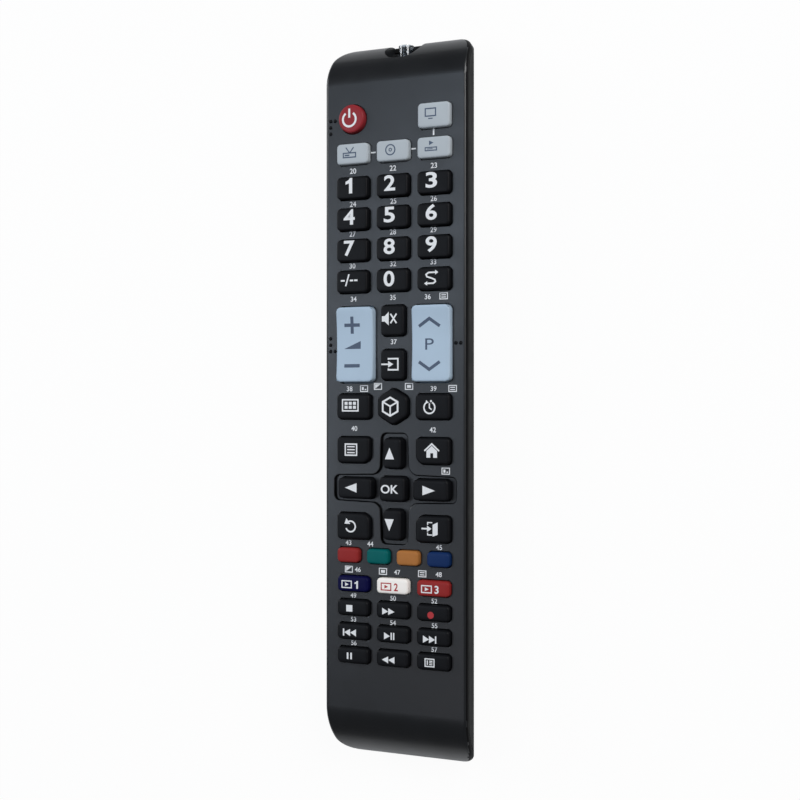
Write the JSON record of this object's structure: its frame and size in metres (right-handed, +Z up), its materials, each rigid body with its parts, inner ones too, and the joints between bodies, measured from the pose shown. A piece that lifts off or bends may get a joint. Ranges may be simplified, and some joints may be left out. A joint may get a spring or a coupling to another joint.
{
  "type": "universal remote control",
  "caption": "Slim black universal remote control with 47 push keys, two rocker keys, an infrared emitter and a sliding battery cover over two AAA cells.",
  "frame": {"origin": "on the table, under the middle of the housing, which lies on its back", "axes": "+Z up through the keys, +Y towards the infrared end, +X to the user's right"},
  "size_m": [0.0496, 0.2318, 0.0224],
  "materials": {
    "shell_black": "satin",
    "shell_grey": "satin",
    "key_black": "satin",
    "key_pale": "satin",
    "key_red": "satin",
    "key_dark_red": "satin",
    "key_green": "satin",
    "key_orange": "satin",
    "key_blue": "satin",
    "key_navy": "satin",
    "key_white": "satin",
    "clear_resin": "gloss",
    "plated_steel": "satin",
    "cell_sleeve": "satin",
    "board_green": "satin",
    "mat_grey": "matte",
    "component_black": "satin"
  },
  "bodies": {
    "housing": {"front_shell": "shell_black", "rear_shell": "shell_grey", "housing_screw": "plated_steel", "aaa_cells": "cell_sleeve", "contact_plates": "plated_steel", "battery_springs": "plated_steel", "circuit_board": "board_green", "keypad_mat": "mat_grey", "board_components": "component_black", "infrared_led": "clear_resin"},
    "battery_cover": {"battery_cover": "shell_grey"},
    "power_key": {"power_key": "key_red"},
    "tv_mode_key": {"tv_mode_key": "key_pale"},
    "cable_mode_key": {"cable_mode_key": "key_pale"},
    "disc_mode_key": {"disc_mode_key": "key_pale"},
    "player_mode_key": {"player_mode_key": "key_pale"},
    "digit_1_key": {"digit_1_key": "key_black"},
    "digit_2_key": {"digit_2_key": "key_black"},
    "digit_3_key": {"digit_3_key": "key_black"},
    "digit_4_key": {"digit_4_key": "key_black"},
    "digit_5_key": {"digit_5_key": "key_black"},
    "digit_6_key": {"digit_6_key": "key_black"},
    "digit_7_key": {"digit_7_key": "key_black"},
    "digit_8_key": {"digit_8_key": "key_black"},
    "digit_9_key": {"digit_9_key": "key_black"},
    "dash_key": {"dash_key": "key_black"},
    "digit_0_key": {"digit_0_key": "key_black"},
    "swap_key": {"swap_key": "key_black"},
    "mute_key": {"mute_key": "key_black"},
    "source_key": {"source_key": "key_black"},
    "apps_key": {"apps_key": "key_black"},
    "cube_key": {"cube_key": "key_black"},
    "timer_key": {"timer_key": "key_black"},
    "menu_key": {"menu_key": "key_black"},
    "home_key": {"home_key": "key_black"},
    "return_key": {"return_key": "key_black"},
    "exit_key": {"exit_key": "key_black"},
    "up_key": {"up_key": "key_black"},
    "left_key": {"left_key": "key_black"},
    "ok_key": {"ok_key": "key_black"},
    "right_key": {"right_key": "key_black"},
    "down_key": {"down_key": "key_black"},
    "red_key": {"red_key": "key_dark_red"},
    "green_key": {"green_key": "key_green"},
    "orange_key": {"orange_key": "key_orange"},
    "blue_key": {"blue_key": "key_blue"},
    "app_one_key": {"app_one_key": "key_navy"},
    "app_two_key": {"app_two_key": "key_white"},
    "app_three_key": {"app_three_key": "key_dark_red"},
    "stop_key": {"stop_key": "key_black"},
    "forward_key": {"forward_key": "key_black"},
    "record_key": {"record_key": "key_black"},
    "previous_key": {"previous_key": "key_black"},
    "play_pause_key": {"play_pause_key": "key_black"},
    "next_key": {"next_key": "key_black"},
    "pause_key": {"pause_key": "key_black"},
    "rewind_key": {"rewind_key": "key_black"},
    "info_key": {"info_key": "key_black"},
    "volume_rocker": {"volume_rocker": "key_pale"},
    "programme_rocker": {"programme_rocker": "key_pale"}
  },
  "joints": [
    {"name": "power_key_press", "type": "slide", "parent": "housing", "child": "power_key", "axis": [0, 0, -1], "range_m": [0, 0.001], "stiffness_N_per_m": 1200, "springref_m": -0.0002},
    {"name": "tv_mode_key_press", "type": "slide", "parent": "housing", "child": "tv_mode_key", "axis": [0, 0, -1], "range_m": [0, 0.001], "stiffness_N_per_m": 1200, "springref_m": -0.0002},
    {"name": "cable_mode_key_press", "type": "slide", "parent": "housing", "child": "cable_mode_key", "axis": [0, 0, -1], "range_m": [0, 0.001], "stiffness_N_per_m": 1200, "springref_m": -0.0002},
    {"name": "disc_mode_key_press", "type": "slide", "parent": "housing", "child": "disc_mode_key", "axis": [0, 0, -1], "range_m": [0, 0.001], "stiffness_N_per_m": 1200, "springref_m": -0.0002},
    {"name": "player_mode_key_press", "type": "slide", "parent": "housing", "child": "player_mode_key", "axis": [0, 0, -1], "range_m": [0, 0.001], "stiffness_N_per_m": 1200, "springref_m": -0.0002},
    {"name": "digit_1_key_press", "type": "slide", "parent": "housing", "child": "digit_1_key", "axis": [0, 0, -1], "range_m": [0, 0.001], "stiffness_N_per_m": 1200, "springref_m": -0.0002},
    {"name": "digit_2_key_press", "type": "slide", "parent": "housing", "child": "digit_2_key", "axis": [0, 0, -1], "range_m": [0, 0.001], "stiffness_N_per_m": 1200, "springref_m": -0.0002},
    {"name": "digit_3_key_press", "type": "slide", "parent": "housing", "child": "digit_3_key", "axis": [0, 0, -1], "range_m": [0, 0.001], "stiffness_N_per_m": 1200, "springref_m": -0.0002},
    {"name": "digit_4_key_press", "type": "slide", "parent": "housing", "child": "digit_4_key", "axis": [0, 0, -1], "range_m": [0, 0.001], "stiffness_N_per_m": 1200, "springref_m": -0.0002},
    {"name": "digit_5_key_press", "type": "slide", "parent": "housing", "child": "digit_5_key", "axis": [0, 0, -1], "range_m": [0, 0.001], "stiffness_N_per_m": 1200, "springref_m": -0.0002},
    {"name": "digit_6_key_press", "type": "slide", "parent": "housing", "child": "digit_6_key", "axis": [0, 0, -1], "range_m": [0, 0.001], "stiffness_N_per_m": 1200, "springref_m": -0.0002},
    {"name": "digit_7_key_press", "type": "slide", "parent": "housing", "child": "digit_7_key", "axis": [0, 0, -1], "range_m": [0, 0.001], "stiffness_N_per_m": 1200, "springref_m": -0.0002},
    {"name": "digit_8_key_press", "type": "slide", "parent": "housing", "child": "digit_8_key", "axis": [0, 0, -1], "range_m": [0, 0.001], "stiffness_N_per_m": 1200, "springref_m": -0.0002},
    {"name": "digit_9_key_press", "type": "slide", "parent": "housing", "child": "digit_9_key", "axis": [0, 0, -1], "range_m": [0, 0.001], "stiffness_N_per_m": 1200, "springref_m": -0.0002},
    {"name": "dash_key_press", "type": "slide", "parent": "housing", "child": "dash_key", "axis": [0, 0, -1], "range_m": [0, 0.001], "stiffness_N_per_m": 1200, "springref_m": -0.0002},
    {"name": "digit_0_key_press", "type": "slide", "parent": "housing", "child": "digit_0_key", "axis": [0, 0, -1], "range_m": [0, 0.001], "stiffness_N_per_m": 1200, "springref_m": -0.0002},
    {"name": "swap_key_press", "type": "slide", "parent": "housing", "child": "swap_key", "axis": [0, 0, -1], "range_m": [0, 0.001], "stiffness_N_per_m": 1200, "springref_m": -0.0002},
    {"name": "mute_key_press", "type": "slide", "parent": "housing", "child": "mute_key", "axis": [0, 0, -1], "range_m": [0, 0.001], "stiffness_N_per_m": 1200, "springref_m": -0.0002},
    {"name": "source_key_press", "type": "slide", "parent": "housing", "child": "source_key", "axis": [0, 0, -1], "range_m": [0, 0.001], "stiffness_N_per_m": 1200, "springref_m": -0.0002},
    {"name": "apps_key_press", "type": "slide", "parent": "housing", "child": "apps_key", "axis": [0, 0, -1], "range_m": [0, 0.001], "stiffness_N_per_m": 1200, "springref_m": -0.0002},
    {"name": "cube_key_press", "type": "slide", "parent": "housing", "child": "cube_key", "axis": [0, 0, -1], "range_m": [0, 0.001], "stiffness_N_per_m": 1200, "springref_m": -0.0002},
    {"name": "timer_key_press", "type": "slide", "parent": "housing", "child": "timer_key", "axis": [0, 0, -1], "range_m": [0, 0.001], "stiffness_N_per_m": 1200, "springref_m": -0.0002},
    {"name": "menu_key_press", "type": "slide", "parent": "housing", "child": "menu_key", "axis": [0, 0, -1], "range_m": [0, 0.001], "stiffness_N_per_m": 1200, "springref_m": -0.0002},
    {"name": "home_key_press", "type": "slide", "parent": "housing", "child": "home_key", "axis": [0, 0, -1], "range_m": [0, 0.001], "stiffness_N_per_m": 1200, "springref_m": -0.0002},
    {"name": "return_key_press", "type": "slide", "parent": "housing", "child": "return_key", "axis": [0, 0, -1], "range_m": [0, 0.001], "stiffness_N_per_m": 1200, "springref_m": -0.0002},
    {"name": "exit_key_press", "type": "slide", "parent": "housing", "child": "exit_key", "axis": [0, 0, -1], "range_m": [0, 0.001], "stiffness_N_per_m": 1200, "springref_m": -0.0002},
    {"name": "up_key_press", "type": "slide", "parent": "housing", "child": "up_key", "axis": [0, 0, -1], "range_m": [0, 0.001], "stiffness_N_per_m": 1200, "springref_m": -0.0002},
    {"name": "left_key_press", "type": "slide", "parent": "housing", "child": "left_key", "axis": [0, 0, -1], "range_m": [0, 0.001], "stiffness_N_per_m": 1200, "springref_m": -0.0002},
    {"name": "ok_key_press", "type": "slide", "parent": "housing", "child": "ok_key", "axis": [0, 0, -1], "range_m": [0, 0.001], "stiffness_N_per_m": 1200, "springref_m": -0.0002},
    {"name": "right_key_press", "type": "slide", "parent": "housing", "child": "right_key", "axis": [0, 0, -1], "range_m": [0, 0.001], "stiffness_N_per_m": 1200, "springref_m": -0.0002},
    {"name": "down_key_press", "type": "slide", "parent": "housing", "child": "down_key", "axis": [0, 0, -1], "range_m": [0, 0.001], "stiffness_N_per_m": 1200, "springref_m": -0.0002},
    {"name": "red_key_press", "type": "slide", "parent": "housing", "child": "red_key", "axis": [0, 0, -1], "range_m": [0, 0.001], "stiffness_N_per_m": 1200, "springref_m": -0.0002},
    {"name": "green_key_press", "type": "slide", "parent": "housing", "child": "green_key", "axis": [0, 0, -1], "range_m": [0, 0.001], "stiffness_N_per_m": 1200, "springref_m": -0.0002},
    {"name": "orange_key_press", "type": "slide", "parent": "housing", "child": "orange_key", "axis": [0, 0, -1], "range_m": [0, 0.001], "stiffness_N_per_m": 1200, "springref_m": -0.0002},
    {"name": "blue_key_press", "type": "slide", "parent": "housing", "child": "blue_key", "axis": [0, 0, -1], "range_m": [0, 0.001], "stiffness_N_per_m": 1200, "springref_m": -0.0002},
    {"name": "app_one_key_press", "type": "slide", "parent": "housing", "child": "app_one_key", "axis": [0, 0, -1], "range_m": [0, 0.001], "stiffness_N_per_m": 1200, "springref_m": -0.0002},
    {"name": "app_two_key_press", "type": "slide", "parent": "housing", "child": "app_two_key", "axis": [0, 0, -1], "range_m": [0, 0.001], "stiffness_N_per_m": 1200, "springref_m": -0.0002},
    {"name": "app_three_key_press", "type": "slide", "parent": "housing", "child": "app_three_key", "axis": [0, 0, -1], "range_m": [0, 0.001], "stiffness_N_per_m": 1200, "springref_m": -0.0002},
    {"name": "stop_key_press", "type": "slide", "parent": "housing", "child": "stop_key", "axis": [0, 0, -1], "range_m": [0, 0.001], "stiffness_N_per_m": 1200, "springref_m": -0.0002},
    {"name": "forward_key_press", "type": "slide", "parent": "housing", "child": "forward_key", "axis": [0, 0, -1], "range_m": [0, 0.001], "stiffness_N_per_m": 1200, "springref_m": -0.0002},
    {"name": "record_key_press", "type": "slide", "parent": "housing", "child": "record_key", "axis": [0, 0, -1], "range_m": [0, 0.001], "stiffness_N_per_m": 1200, "springref_m": -0.0002},
    {"name": "previous_key_press", "type": "slide", "parent": "housing", "child": "previous_key", "axis": [0, 0, -1], "range_m": [0, 0.001], "stiffness_N_per_m": 1200, "springref_m": -0.0002},
    {"name": "play_pause_key_press", "type": "slide", "parent": "housing", "child": "play_pause_key", "axis": [0, 0, -1], "range_m": [0, 0.001], "stiffness_N_per_m": 1200, "springref_m": -0.0002},
    {"name": "next_key_press", "type": "slide", "parent": "housing", "child": "next_key", "axis": [0, 0, -1], "range_m": [0, 0.001], "stiffness_N_per_m": 1200, "springref_m": -0.0002},
    {"name": "pause_key_press", "type": "slide", "parent": "housing", "child": "pause_key", "axis": [0, 0, -1], "range_m": [0, 0.001], "stiffness_N_per_m": 1200, "springref_m": -0.0002},
    {"name": "rewind_key_press", "type": "slide", "parent": "housing", "child": "rewind_key", "axis": [0, 0, -1], "range_m": [0, 0.001], "stiffness_N_per_m": 1200, "springref_m": -0.0002},
    {"name": "info_key_press", "type": "slide", "parent": "housing", "child": "info_key", "axis": [0, 0, -1], "range_m": [0, 0.001], "stiffness_N_per_m": 1200, "springref_m": -0.0002},
    {"name": "volume_rocker_tilt", "type": "hinge", "parent": "housing", "child": "volume_rocker", "pos_m": [-0.0133, 0.01825, 0.0155], "axis": [1, 0, 0], "range_deg": [-3, 3], "stiffness_Nm_per_rad": 0.4},
    {"name": "programme_rocker_tilt", "type": "hinge", "parent": "housing", "child": "programme_rocker", "pos_m": [0.0133, 0.01825, 0.0155], "axis": [1, 0, 0], "range_deg": [-3, 3], "stiffness_Nm_per_rad": 0.4},
    {"name": "battery_cover_slide", "type": "slide", "parent": "housing", "child": "battery_cover", "axis": [0, -1, 0], "range_m": [0, 0.069]}
  ]
}
